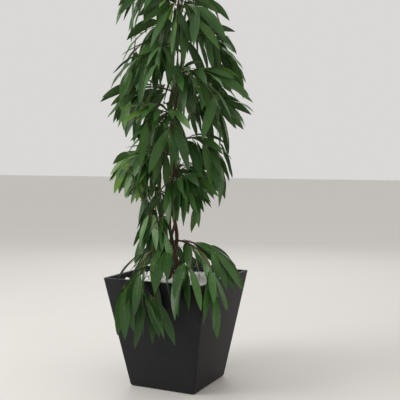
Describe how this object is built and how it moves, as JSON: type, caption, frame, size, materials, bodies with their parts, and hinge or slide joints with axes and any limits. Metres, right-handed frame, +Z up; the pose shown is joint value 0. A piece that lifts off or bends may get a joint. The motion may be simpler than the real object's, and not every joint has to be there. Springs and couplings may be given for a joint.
{
  "type": "potted narrow-leaf fig",
  "caption": "Tall narrow-leaf fig grown as a leafy column on twisted stems, in a square tapered planter topped with pale pebbles.",
  "frame": {"origin": "middle of the planter's flat underside, where it stands on the floor", "axes": "+Z up along the column, X and Y square to the planter's sides"},
  "size_m": [0.6633, 0.8201, 2.0221],
  "materials": {
    "planter": "matt anthracite, fine even grain",
    "soil": "dark potting mix",
    "pebbles": "pale rounded pebbles",
    "bark": "smooth reddish-brown bark with pores",
    "foliage": "satin dark green leaves with a paler midrib"
  },
  "bodies": {
    "root": {"planter": "planter", "soil": "soil", "pebble_layer": "pebbles", "stem_leader": "bark", "stem_second": "bark", "stem_third": "bark", "low_01_bough": "bark", "low_01_leaves": "foliage", "low_02_bough": "bark", "low_02_leaves": "foliage", "low_03_bough": "bark", "low_03_leaves": "foliage", "low_04_bough": "bark", "low_04_leaves": "foliage", "crown_01_bough": "bark", "crown_01_leaves": "foliage", "crown_02_bough": "bark", "crown_02_leaves": "foliage", "crown_03_bough": "bark", "crown_03_leaves": "foliage", "crown_04_bough": "bark", "crown_04_leaves": "foliage", "crown_05_bough": "bark", "crown_05_leaves": "foliage", "crown_06_bough": "bark", "crown_06_leaves": "foliage", "crown_07_bough": "bark", "crown_07_leaves": "foliage", "crown_08_bough": "bark", "crown_08_leaves": "foliage", "crown_09_bough": "bark", "crown_09_leaves": "foliage", "crown_10_bough": "bark", "crown_10_leaves": "foliage", "crown_11_bough": "bark", "crown_11_leaves": "foliage", "crown_12_bough": "bark", "crown_12_leaves": "foliage", "crown_13_bough": "bark", "crown_13_leaves": "foliage", "crown_14_bough": "bark", "crown_14_leaves": "foliage", "crown_15_bough": "bark", "crown_15_leaves": "foliage", "crown_16_bough": "bark", "crown_16_leaves": "foliage", "crown_17_bough": "bark", "crown_17_leaves": "foliage", "stem_leader_tip_leaves": "foliage", "stem_second_tip_leaves": "foliage", "stem_third_tip_leaves": "foliage"}
  },
  "joints": []
}
